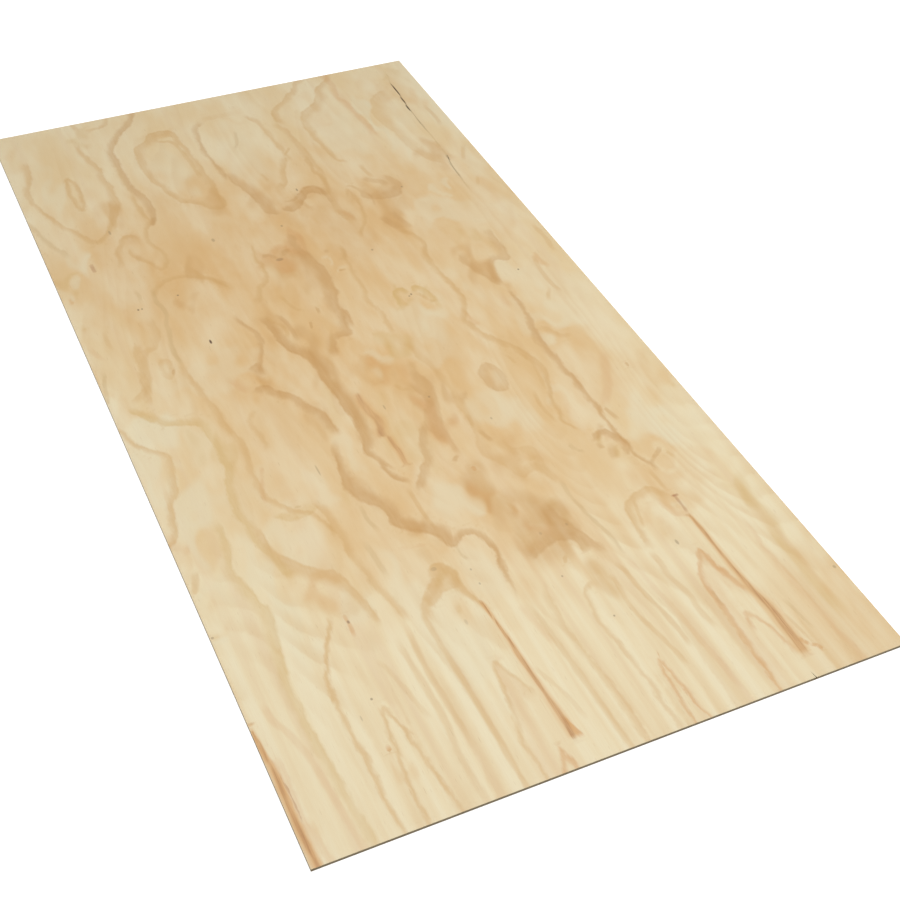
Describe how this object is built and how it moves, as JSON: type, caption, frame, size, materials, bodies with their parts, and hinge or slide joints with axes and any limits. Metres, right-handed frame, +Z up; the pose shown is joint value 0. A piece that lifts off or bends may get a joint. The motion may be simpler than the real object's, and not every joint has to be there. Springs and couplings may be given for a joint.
{
  "type": "plywood sheet",
  "caption": "Full sheet of thin bare pine plywood, rotary-peeled face up: face, core and back veneers glued face to face, with drying splits in the face.",
  "frame": {"origin": "under the middle of the sheet, on its back face", "axes": "+Y along the sheet and its face grain, +X across the sheet, +Z up through the plies, out of the show face"},
  "size_m": [1.2, 2.4, 0.007],
  "materials": {
    "face_veneer": "bare peeled and lightly sanded pine, grain along the sheet",
    "core_veneer": "bare peeled pine, grain across the sheet, sawn at its edges",
    "back_veneer": "bare peeled pine of a plainer grade, grain along the sheet"
  },
  "bodies": {
    "root": {"face_veneer": "face_veneer", "core_veneer": "core_veneer", "back_veneer": "back_veneer"}
  },
  "joints": []
}
